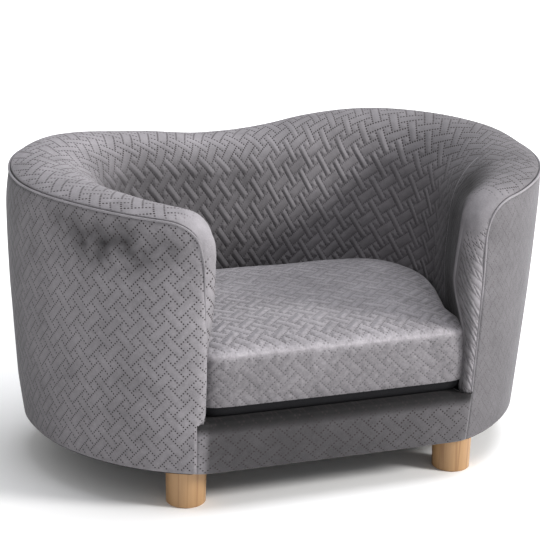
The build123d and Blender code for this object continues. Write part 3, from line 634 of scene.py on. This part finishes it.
def padding_place(i, j):
    """Column i goes round the plan, with the slices of the front ends first and last; row j goes round
    the section."""
    slice_no = np.maximum(np.maximum(NOSE_SLICES - i, i - NOSE_SLICES - SPAN), 0)
    nose = slice_no > 0
    way = np.clip((i - NOSE_SLICES) / SPAN * 2 - 1, -1, 1) * HALF
    right = way > 0
    side = np.where(way < 0, -1, 1)
    place = rim_place(way)
    start, outwards = at(OUTER, way)
    end, _ = at(TUB, side * tub_way(place))
    across = end - start
    width = np.linalg.norm(across, axis=1)
    inwards = across / width[:, None]
    along = (outwards * inwards).sum(1)
    sideways = outwards - inwards * along[:, None]
    angle = slice_no / NOSE_SLICES * math.pi / 2 * LAST_SLICE
    low = seam_height(way)
    crest = crest_height(way, HALF - np.abs(way) + NOSE_ROUND * (1 - np.sin(angle)))
    hidden = rising(place, 0, 0.02) * BEHIND_COVER
    seam_s = along * swell(low) + roll_in(way, 0)
    peak_s = seam_s + smooth(place, *PEAK_SHARE) * (width - seam_s)
    near_front = falling(place, FRONT_PART, FRONT_PART)
    inner_s = width - pinch(side, crest) * near_front
    shoulder = crest - (inner_s - peak_s) * SHOULDER_FALL
    seam_z = np.where(nose, np.minimum(low, crest - 0.9 * (peak_s - seam_s) * np.cos(angle)), low)
    # up behind the cover, or up the outer side of a front end
    z = PADDING_FOOT + (seam_z - PADDING_FOOT) * rising(j, 0, SEAM_ROW)
    s = along * swell(z) + hidden + roll_in(way, seam_z - z)
    # from the seam up to the crest
    past_seam = j > SEAM_ROW
    to_crest = rising(j, SEAM_ROW, CREST_ROW - SEAM_ROW)
    seam_end = np.where(nose, along * swell(seam_z), seam_s)
    rim_s, rim_z = arc_between(peak_s, crest, seam_end, seam_z, 1 - to_crest)
    s, z = np.where(past_seam, rim_s, s), np.where(past_seam, rim_z, z)
    # from the crest down to the shoulder
    past_crest = j > CREST_ROW
    to_shoulder = rising(j, CREST_ROW, SHOULDER_ROW - CREST_ROW)
    roll_s, roll_z = arc_between(peak_s, crest, inner_s, shoulder, to_shoulder)
    s, z = np.where(past_crest, roll_s, s), np.where(past_crest, roll_z, z)
    # down the inner face
    past_shoulder = j > SHOULDER_ROW
    face_z = shoulder + (PADDING_FOOT - shoulder) * rising(j, SHOULDER_ROW, FOOT_ROW - SHOULDER_ROW)
    full = np.sin(np.pi * falling(face_z, shoulder, np.maximum(shoulder - FULL_FOOT, 0.01)))
    face_s = width - pinch(side, face_z) * near_front + FACE_FULL * full * rising(place, 0, 0.3)
    s, z = np.where(past_shoulder, face_s, s), np.where(past_shoulder, face_z, z)
    # along the underside, back to the start
    past_foot = j > FOOT_ROW
    foot_s = along * swell(PADDING_FOOT) + hidden
    s = np.where(past_foot, s + (foot_s - s) * rising(j, FOOT_ROW, PADDING_ROWS - FOOT_ROW), s)
    z = np.where(past_foot, PADDING_FOOT, z)
    # slices of a front end go from its outer side to its inner side
    span = width - pinch(side, np.minimum(z, shoulder)) - along * swell(z)
    share = rising(s, along * swell(z), span)
    _, radius, _, whole = nose_arc(side, z)
    whole = np.abs(whole)
    half_turn = whole / 2 * angle / (math.pi / 2)
    outer_end = nose_spot(side, z, half_turn)
    inner_end = nose_spot(side, z, whole - half_turn)
    round_end = outer_end + (inner_end - outer_end) * share[:, None]
    s = s + PADDING_WRINKLE * ripple(way * 1.5, z * 2.2, 9) * rising(place, 0, 0.05) * past_crest
    xy = start + inwards * s[:, None] + sideways * swell(z)[:, None]
    xy = np.where((nose | (place <= 0))[:, None], round_end, xy)
    # flat cloth: along the crest, then round the front end; up the section
    outer_side = j < CREST_ROW
    round_nose = np.where(nose, half_turn * radius, 0)
    reach = np.where(outer_side & nose, whole * radius - round_nose, round_nose)
    on_back = place > LINING_SEAM
    u = np.interp(way, *CREST_PATH) + side * reach
    roll = np.abs(width - peak_s) * 1.5
    v = shoulder + roll + (1 - to_crest) * (peak_s - seam_s) * 1.1
    v = np.where(past_crest, shoulder + (1 - to_shoulder) * roll, v)
    v = np.where(past_shoulder | ~past_seam | nose, z, v)
    bias = np.where(on_back & right, u, 0)
    v = v + 0.37 * bias ** 2 / (bias + 0.06)
    v = np.where(nose & right, z * 1.7 + (whole * radius - reach) * -2.4, v)
    # quilting, deepest on the back and flatter towards the seams
    facing = np.where(past_shoulder, 1, np.where(past_crest, np.clip(to_shoulder * 1.6 - 0.6, 0, 1), 0))
    quilt = 0.17 + 0.83 * facing * np.where(on_back, 1, np.where(right, 0.12, 0.5))
    round_share = np.where(outer_side, 1 - half_turn / whole, half_turn / whole) * nose
    below = falling(z, crest - 0.004, 0.045)
    quilt = np.where(nose, np.where(right, np.clip(round_share * 6 - 1, 0, 1), 0.25) * below, quilt)
    quilt = quilt * np.where(nose | past_shoulder, 1, rising(place, 0.02, 0.1))
    quilt = quilt * np.where(past_shoulder & ~nose & right, np.clip(place / 0.05 - 0.1, 0, 1), 1)
    quilt = quilt * np.where(past_seam & ~past_crest, np.clip(to_crest * 3, 0.25, 1), 1)
    # nap of the rim, of the inner face and of the round front ends, with painted light on the left rim and on
    # the outer sides of the front ends, and painted shade towards the right rim, down the inner face and on
    # the inner side of the right front end
    arm_share = rising(way / HALF, 0.58, 0.2) * np.clip(place / 0.14 - 0.1, 0, 1)
    early = np.clip(to_shoulder * (1.6 + 1.2 * arm_share) - 0.6 + 0.2 * arm_share, 0, 1)
    early = np.where(past_shoulder, 1, np.where(past_crest, early, 0))
    inner = np.where(right, early * rising(place, 0, 0.03), facing * rising(place, 0, 0.04))
    nap = smooth(way / HALF, TUB_LIGHT_SHARES, RIM_NAP_AND_LIGHT)
    nap = nap + (smooth(way / HALF, TUB_LIGHT_SHARES, INNER_NAP_AND_SHADE) - nap) * inner
    left_nose_light, right_nose_light = (np.interp(round_share, *values) for values in (LEFT_NOSE_NAP_AND_LIGHT, RIGHT_NOSE_NAP_AND_SHADE))
    nap = np.where(nose, nap + (np.where(right, right_nose_light, left_nose_light) - nap) * below, nap)
    # the seam between two panels leans as it comes over the rim
    seam = (place - LINING_SEAM) * TUB_ARM - (1 - to_shoulder) * 0.05
    seam = np.where(past_crest & (to_shoulder > 0.3), seam, 1)
    return np.column_stack([xy, z]), np.stack([u, v], -1), quilt, nap, seam


TUB_VELVET = velvet("velvet_tub", tone=0.205, relief=1.15, crease=0.3, side_light=0.45, weak_p=0.7,
                    sheen=0.05, dot_size=1.2, deep_hides=0.65)
tub = grid("tub_padding_velvet", SPAN + 2 * NOSE_SLICES, PADDING_ROWS, padding_place)
tub.data.materials.append(TUB_VELVET)
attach(tub, "sofa")
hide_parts("arm_lining_left", "arm_lining_right", "back_lining",
            "arm_foam_left", "arm_foam_right", "back_foam")

# Front rail. A padded bar under the same velvet, straight between the arms; its section (down, under,
# up behind, back over the seat board) is swept across.
RAIL_FACE = WIDEST - FRONT_DEPTH
RAIL_COLUMNS = 120
# rows at which each stretch of the section ends; the rounded top edge comes last
FACE_ROW, TURN_ROW, UNDER_ROW, BACK_ROW, FLAP_ROW, TOP_ROW, RAIL_ROWS = 24, 30, 31, 34, 36, 48, 56
FACE_TOP, RAIL_TOP, STUFFING_TOP = 0.096, 0.1108, 0.302
TOP_SETBACK, RAIL_HALF, FREE_HALF = 0.011, 0.1713, 0.162
BEND_LENGTH, BEND_DEPTH, BEND_RADIUS = 0.0165, 0.00334, 0.0407
RAIL_BELLY, RAIL_WRINKLE = 0.0022, 0.0003
BACK_IN, BACK_TOP, BACK_HALF = 0.0075, 0.106, 0.16
FLAP_UNDER, FLAP_REAR, FLAP_FRONT = 0.1084, 0.042, 0.009
SEAM_SPOT, SEAM_NORMAL = (v[0] for v in at(OUTER, np.array([HALF])))
PERIOD, PERIODS = 2 * math.sqrt(2) * WEAVE, 61
RAIL_SCALE = (PERIODS * PERIOD - 2 * HALF * WALL_SCALE) / (2 * SEAM_SPOT[0])
RAIL_NAP_AND_SHADE = ((-0.17, -0.165, -0.158, -0.06, 0.01, 0.14, 0.172), (1.08, 0.95, 0.3, 0.23, 0.28, 0.42, 0.48))


def rail_place(i, j):
    """Column i goes from the left arm to the right one, row j round the section."""
    share = i / RAIL_COLUMNS * 2 - 1
    # front, down to the rounded lower edge
    z = FACE_TOP + (EDGE_TOP - FACE_TOP) * rising(j, 0, FACE_ROW)
    out = wall_out(z, STUFFING_TOP)
    turn = rising(j, FACE_ROW, TURN_ROW - FACE_ROW) * math.pi / 2
    under = j > FACE_ROW
    out = np.where(under, swell(EDGE_TOP) - EDGE_ROUND + EDGE_ROUND * np.cos(turn), out)
    z = np.where(under, EDGE_TOP - EDGE_ROUND * np.sin(turn), z)
    # rounded top edge, which runs out where the arms stand on it
    turn = rising(j, TOP_ROW, RAIL_ROWS - TOP_ROW) * math.pi / 2
    top = j > TOP_ROW
    free = falling(np.abs(share) * RAIL_HALF, FREE_HALF, 0.012)
    z = np.where(top, RAIL_TOP - (RAIL_TOP - FACE_TOP) * (1 - np.cos(turn)), z)
    out = np.where(top, wall_out(z, STUFFING_TOP) - TOP_SETBACK * free * (1 - np.sin(turn)), out)
    end_x, end_y = SEAM_SPOT[0] + SEAM_NORMAL[0] * out, SEAM_SPOT[1] + SEAM_NORMAL[1] * out
    x = share * end_x
    to_end = end_x - np.abs(x)
    bend = np.maximum(BEND_LENGTH - to_end, 0)
    belly = RAIL_BELLY * np.sin(np.pi * rising(j, 0, FACE_ROW)) ** 0.7 * rising(to_end, 0, 0.05) * ~under
    y = end_y - BEND_DEPTH + bend ** 2 / (2 * BEND_RADIUS) - belly
    y = y + RAIL_WRINKLE * ripple(x, z, 12) * rising(to_end, 0, 0.03)
    # underside, back, and the flap over the seat board
    turned_under = j > TURN_ROW
    behind = turned_under & ~top
    back_z = BODY_FOOT + (BACK_TOP - BODY_FOOT) * rising(j, UNDER_ROW, BACK_ROW - UNDER_ROW)
    z = np.where((j > UNDER_ROW) & ~top, back_z, z)
    z = np.where((j > BACK_ROW) & ~top, np.where(j < FLAP_ROW, FLAP_UNDER, RAIL_TOP), z)
    flap_y = FLAP_REAR + (FLAP_FRONT - FLAP_REAR) * rising(j, FLAP_ROW, TOP_ROW - FLAP_ROW)
    y = np.where(behind, RAIL_FACE + np.where(j > BACK_ROW, flap_y, BACK_IN), y)
    x = np.where(behind, np.clip(x, -BACK_HALF, BACK_HALF), x)
    along = HALF * WALL_SCALE + (x + SEAM_SPOT[0]) * RAIL_SCALE
    cloth = np.stack([along, (z - CLOTH_LEVEL) * CLOTH_SCALE], -1)
    quilt = 0.12 + 0.22 * rising(x, 0.02, 0.1) * falling(x, 0.16, 0.03)
    quilt = np.where(turned_under, 0.1, quilt)
    # nap with painted shade: dark across most of the front and lightest at the left end; painted shadow over
    # the top edge under the cushion and on the underside, back and flap
    nap = np.interp(x, *RAIL_NAP_AND_SHADE)
    shadow = np.where(top, 0.1 + 0.9 * rising(turn, 0.75, 0.8) ** 1.5, np.where(turned_under, 0.08, 1))
    return np.column_stack([x, y, z]), cloth, quilt, nap * shadow


rail = grid("front_rail_velvet", RAIL_COLUMNS, RAIL_ROWS, rail_place)
rail.data.materials.append(COVER_VELVET)
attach(rail, "sofa")
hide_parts("front_rail_cover", "front_rail_foam")

# Deck cloth. Thin black non-woven stretched over the seat board and tacked down under the foot of the
# padding, so its outline is the tub's inner line a little widened, with a straight front edge.
DECK_LOOP = 240
DECK_UNDER, DECK_TOP = 0.1080, 0.1106
DECK_TUCK, DECK_REACH = 0.009, 0.0035


def black_cloth(name):
    s = Shader(bpy.data.materials.new(name))
    weave = s.noise(s.place(), 600.0)
    return s.finish({
        "Base Color": s.mix(weave, (0.004, 0.004, 0.005, 1), (0.012, 0.012, 0.014, 1)),
        "Roughness": 0.9, "Normal": s.bump(weave * 0.0003), "Specular IOR Level": 0.2,
    })


def deck_place(i, j):
    """Column i goes round the outline, row j from the underside to the top."""
    share = (i % DECK_LOOP) / (DECK_LOOP - 1) * 2 - 1
    points, outwards = at(TUB, share * TUB_HALF)
    x, y = (points + outwards * DECK_TUCK).T
    y = y - DECK_REACH * (np.abs(share) > 0.9999)
    z = DECK_UNDER + (DECK_TOP - DECK_UNDER) * j
    return np.column_stack([x, y, z]), np.stack([x, y], -1), 0, 0


BLACK = black_cloth("black_cloth")
deck = grid("deck_cloth_stretched", DECK_LOOP, 1, deck_place)
deck.data.materials.append(BLACK)
for face in deck.data.polygons:
    face.use_smooth = False
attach(deck, "sofa")
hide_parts("deck_cloth")

# Seat cushion. A stuffed box of the same velvet over a black base, crowned and slightly swollen; its
# section (up the middle, over the edge, down the boxing, under) is turned round the plan.
CUSHION_PLAN = ((0.0, -0.1895), (0.07, -0.1893), (0.13, -0.189), (0.148, -0.188), (0.159, -0.1835),
                (0.165, -0.175), (0.1675, -0.163), (0.1755, -0.111), (0.1835, -0.0865), (0.2015, -0.0285),
                (0.2105, 0.014), (0.2095, 0.049), (0.198, 0.083), (0.179, 0.1045), (0.155, 0.1135),
                (0.11, 0.1138), (0.0, 0.1138))
CUSHION_FLOOR, BASE_SEAM, TOP_SEAM, CROWN = 0.1113, 0.1255, 0.187, 0.0185
CUSHION_COLUMNS = 400
# rows at which each stretch of the section ends
CROWN_ROW, BOXING_ROW, EDGE_ROW, CUSHION_ROWS = 60, 86, 94, 100
OUTLINE_STEPS, WINDOW = 1200, 37
CORNER_PULL = 0.0075
HEART_X, HEART_Y = 0.0, -0.03
BULGE, BASE_STEP, BASE_ROUND = 0.0026, 0.003, 0.008
SAG, TOP_SCALE = 0.0012, 1.04


def softened(line):
    """One coordinate of a closed outline, with its corners softened by a moving window."""
    window = np.hanning(WINDOW) / np.hanning(WINDOW).sum()
    line = np.concatenate([line[-WINDOW:-1], line, line[1:WINDOW]])
    return np.convolve(line, window, "same")[WINDOW - 1:1 - WINDOW]


def cushion_outline():
    """Points, outward normals and distances round the cushion, with its right front corner pulled out."""
    points = np.array(CUSHION_PLAN)
    points = np.vstack([points, (points * (-1, 1))[-2:0:-1], points[:1]])
    along = distances(points)
    even = np.linspace(0, along[-1], OUTLINE_STEPS + 1)
    x, y = (softened(np.interp(even, along, line)) for line in points.T)
    normal = np.stack([np.gradient(y), -np.gradient(x)], -1)
    normal /= np.linalg.norm(normal, axis=1)[:, None]
    x = x + CORNER_PULL * rising(x, 0.08, 0.06) * falling(y, -0.1, 0.06)
    places = np.linspace(0, along[-1], CUSHION_COLUMNS + 1)
    return [np.interp(places, even, v) for v in (x, y, normal[:, 0], normal[:, 1])] + [places]


OUTLINE = cushion_outline()


def cushion_place(i, j):
    """Column i goes round the plan and row j from the heart of the crown to the middle of the base."""
    x, y, nx, ny, way = [v[i] for v in OUTLINE]
    # crown, from its heart to the top seam
    t = rising(j, 0, CROWN_ROW)
    u, v = HEART_X + (x - HEART_X) * t, HEART_Y + (y - HEART_Y) * t
    z = TOP_SEAM + CROWN * (1 - t ** 4.2) ** 0.62
    # boxing, which stays flat beside the zip
    boxing = j > CROWN_ROW
    b = rising(j, CROWN_ROW, BOXING_ROW - CROWN_ROW)
    bulge = BULGE * np.sin(np.pi * b) ** 0.8 * (1 - 0.98 * rising(y, 0.09, 0.02))
    bulge = bulge - 0.0005 * np.exp(-((b - 0.98) / 0.03) ** 2)
    px, py = np.where(boxing, x + nx * bulge, u), np.where(boxing, y + ny * bulge, v)
    z = np.where(boxing, TOP_SEAM + (BASE_SEAM - TOP_SEAM) * b, z)
    # base cloth, drawn under at its edge and then flat
    under = j > BOXING_ROW
    turn = rising(j, BOXING_ROW, EDGE_ROW - BOXING_ROW) * math.pi / 2
    tuck = BASE_STEP + BASE_ROUND * (1 - np.cos(turn))
    px, py = np.where(under, x - nx * tuck, px), np.where(under, y - ny * tuck, py)
    z = np.where(under, BASE_SEAM - (BASE_SEAM - CUSHION_FLOOR) * np.sin(turn), z)
    c = rising(j, EDGE_ROW, CUSHION_ROWS - EDGE_ROW)
    px, py = px + (HEART_X - px) * c, py + (HEART_Y - py) * c
    z = z + SAG * ripple(px * 2, py * 2, 21) * (j < CROWN_ROW) * np.clip((1 - t) * 6, 0, 1)
    cloth = np.stack([np.where(boxing, way, u), np.where(boxing, z, v)], -1)
    quilt = np.where(boxing, 0.42, np.clip((1 - t) * 14, 0.25, 1))
    quilt = quilt * rising(np.abs(j - CROWN_ROW - 0.5), 0.5, 2)
    # nap with painted light: the top lighter than the boxing, and a painted highlight along the top seam
    nap = np.where(boxing, 0.82, 1.05) + 0.45 * np.exp(-((z - TOP_SEAM) / 0.005) ** 2) * (t > 0.94)
    return np.column_stack([px, py, z]), cloth * TOP_SCALE, quilt, nap


cushion = grid("seat_cushion_velvet", CUSHION_COLUMNS, CUSHION_ROWS, cushion_place)
CUSHION_VELVET = velvet("velvet_cushion", tone=0.2, relief=1.4, crease=0.1, side_light=0.3, dots=0.45,
                        crush=1.1, weak_q=0.6)
cushion.data.materials.append(CUSHION_VELVET)
cushion.data.materials.append(BLACK)
for face in cushion.data.polygons:
    face.material_index = 1 if face.center.z < BASE_SEAM - 0.0002 else 0
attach(cushion, "cushion")
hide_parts("cushion_foam", "cushion_top_panel", "cushion_boxing", "cushion_base_cloth")

# Welts. A thin cord under velvet along the top seam and down both front seams; a small circle is
# swept along the seam.
WELT_VELVET = velvet("velvet_welt", tone=0.21, relief=0.0, dots=0.0)
WELT_RADIUS, WELT_LIFT, WELT_SIDES = 0.0013, 0.0002, 12
TOP_POINTS, FRONT_POINTS, WELT_FOOT, SMOOTHINGS = 641, 60, 0.113, 3
reach = HALF + CORNER_WRAP
ways = np.linspace(-reach, reach, TOP_POINTS)
tops = seam_height(ways)
top_line = np.column_stack([cover_spot(ways, tops, swell(tops) + WELT_LIFT - roll_in(ways, 0)), tops])


def front_line(side):
    """Line of an arm's front seam, from the top corner down."""
    z = np.linspace(float(tops[0 if side < 0 else -1]) - 0.002, WELT_FOOT, FRONT_POINTS)
    way = side * (HALF + seam_wrap(side, z))
    return np.column_stack([cover_spot(way, z, swell(z) + WELT_LIFT), z])


welt_line = np.vstack([front_line(-1)[::-1], top_line, front_line(1)])
for _ in range(SMOOTHINGS):
    welt_line[1:-1] = (welt_line[:-2] + welt_line[1:-1] * 2 + welt_line[2:]) / 4
tangent = np.gradient(welt_line, axis=0)
tangent /= np.linalg.norm(tangent, axis=1)[:, None]
welt_way = distances(welt_line)


def welt_place(i, j):
    """Column i goes along the seams and row j round the cord."""
    centre, ahead = welt_line[i], tangent[i]
    outward = centre * (1, 1, 0) - np.array((0, WIDEST, 0))
    outward -= ahead * (outward * ahead).sum(1)[:, None]
    outward /= np.linalg.norm(outward, axis=1)[:, None]
    third = np.cross(ahead, outward)
    a = j / WELT_SIDES * 2 * math.pi
    around = outward * np.cos(a)[:, None] + third * np.sin(a)[:, None]
    return centre + around * WELT_RADIUS, np.stack([welt_way[i], a * WELT_RADIUS], -1), 0, 1


welt = grid("seam_welt_velvet", len(welt_line) - 1, WELT_SIDES, welt_place)
welt.data.materials.append(WELT_VELVET)
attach(welt, "sofa")
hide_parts("top_welt", "front_welt_left", "front_welt_right")

# Legs. Four short legs turned from light wood, with upright grain and glued staves under a thin lacquer;
# they screw in from below. The CAD solids carry the finish.
STAVES, GRAIN_STRETCH = 75.0, 0.03


def wood(name, light, dark):
    s = Shader(bpy.data.materials.new(name))
    mapping = s.node("ShaderNodeMapping", {"Vector": s.place(), "Scale": (1.0, 1.0, GRAIN_STRETCH)})
    stretched = s.sum(mapping)
    grain = s.noise(stretched, 420.0, 4.0)
    cells = {"Vector": stretched, "Scale": STAVES}
    staves = s.sum(s.node("ShaderNodeTexVoronoi", cells, feature="F1"))
    joints = s.sum(s.node("ShaderNodeTexVoronoi", cells, feature="DISTANCE_TO_EDGE"))
    amount = (grain - 0.5) * 0.5 + staves * 0.5 + (1 - joints.ramp(0.0, 0.07)) * 0.35
    return s.finish({
        "Base Color": s.mix(amount.maths("ADD", 0.1, clamp=True), light, dark),
        "Roughness": 0.45, "Normal": s.bump(grain * 0.0002, 0.6), "Coat Weight": 0.1,
    })


def repaint(material, names):
    for name in names:
        nodes[name].data.materials.clear()
        nodes[name].data.materials.append(material)


BEECH = wood("light_wood", (0.45, 0.268, 0.122, 1), (0.24, 0.12, 0.045, 1))
repaint(BEECH, [n for n in nodes if n.startswith("leg_")])

# Frame. Boards, posts, blocks and the top rail of plain pale wood, glued and screwed together and
# hidden once the sofa is covered. The CAD solids carry the finish.
PINE = wood("frame_wood", (0.62, 0.45, 0.26, 1), (0.45, 0.30, 0.15, 1))
repaint(PINE, [n for n in nodes if "post" in n or "block" in n or n.endswith("board") or n == "top_rail"])

# Fixings. Zinc-plated screws, hanger bolts, tee nuts and staples, driven into the frame, and the dust
# cover of black non-woven that the staples hold under it. The CAD solids carry the finish.


def metal(name, tone):
    s = Shader(bpy.data.materials.new(name))
    worn = s.noise(s.place(), 300.0)
    return s.finish({"Base Color": grey(tone), "Metallic": 1.0, "Roughness": worn * 0.2 + 0.25})


ZINC = metal("zinc_steel", 0.55)
repaint(ZINC, ["frame_screws", "tee_nuts", "hanger_bolts", "dust_cover_staples"])
repaint(BLACK, ["dust_cover"])

# Zip. Black woven tape and coil sewn into the cushion's rear boxing, with a zinc slider and pull that
# run along it. The CAD solids carry the finish.
repaint(ZINC, ["zip_slider", "zip_pull"])
repaint(BLACK, ["zip_tape", "zip_coil"])

# Studio. A plain pale floor that keeps the shadow and glows far from the object, two soft lamps and a
# white backdrop that the camera and shiny pieces see.
bpy.ops.mesh.primitive_plane_add(size=14)
floor = bpy.context.object
floor.name = "floor"
paint = Shader(bpy.data.materials.new("floor_paint"))
away = paint.sum(paint.node("ShaderNodeVectorMath", {0: paint.place()}, operation="LENGTH"), 1)
glow = paint.mix(away.ramp(0.6, 2.0), (0, 0, 0, 1), (0.6, 0.6, 0.6, 1))
floor.data.materials.append(paint.finish({
    "Base Color": (0.96, 0.96, 0.96, 1), "Roughness": 0.8, "Emission Color": glow, "Emission Strength": 1.0,
}))


LAMP_AIM = Vector((0, 0, 0.2))


def lamp(name, place, size, power, color):
    data = bpy.data.lights.new(name, "AREA")
    data.shape = "DISK"
    data.size = size
    data.energy = power
    data.color = color
    made = bpy.data.objects.new(name, data)
    made.location = place
    made.rotation_mode = "QUATERNION"
    made.rotation_quaternion = (LAMP_AIM - Vector(place)).to_track_quat("-Z", "Y")
    bpy.context.scene.collection.objects.link(made)


lamp("key", (2.2, -1.6, 1.5), 0.7, 84, (1, 0.985, 0.965))
lamp("over", (0.6, 0.0, 3.6), 3.0, 110, (0.95, 0.965, 1))

WORLD_LIGHT = 0.52
world = bpy.data.worlds.new("studio")
bpy.context.scene.world = world
sky = Shader(world, "Background")
rays = sky.node("ShaderNodeLightPath")
seen = sky.sum(rays, "Is Camera Ray").most(sky.sum(rays, "Is Glossy Ray"))
seen = seen.most(sky.sum(rays, "Is Transmission Ray"))
sky.finish({"Color": (1, 1, 1, 1), "Strength": seen * (1 - WORLD_LIGHT) + WORLD_LIGHT})
bpy.context.scene.view_settings.view_transform = "Standard"

# Camera. It stands where the picture was taken from: 20.9 degrees to the left of the front, looking
# down by 17.2 degrees and rolled a little.
turn, down, roll = math.radians(20.92), math.radians(17.15), math.radians(1.54)
distance = 2.0358
aim = Vector((-0.002, 0.03475, 0.211))
forward = Vector((math.sin(turn) * math.cos(down), math.cos(turn) * math.cos(down), -math.sin(down)))
sideways = Vector((math.cos(turn), -math.sin(turn), 0))
upright = sideways.cross(forward)
right = sideways * math.cos(roll) + upright * math.sin(roll)
up = upright * math.cos(roll) - sideways * math.sin(roll)
camera = bpy.data.objects.new("camera", bpy.data.cameras.new("camera"))
bpy.context.scene.collection.objects.link(camera)
camera.data.lens = 106.667
camera.data.sensor_width = 36
camera.data.clip_end = 30
turned_to = Matrix((right, up, -forward)).transposed().to_4x4()
camera.matrix_world = Matrix.Translation(aim - forward * distance) @ turned_to
bpy.context.scene.camera = camera
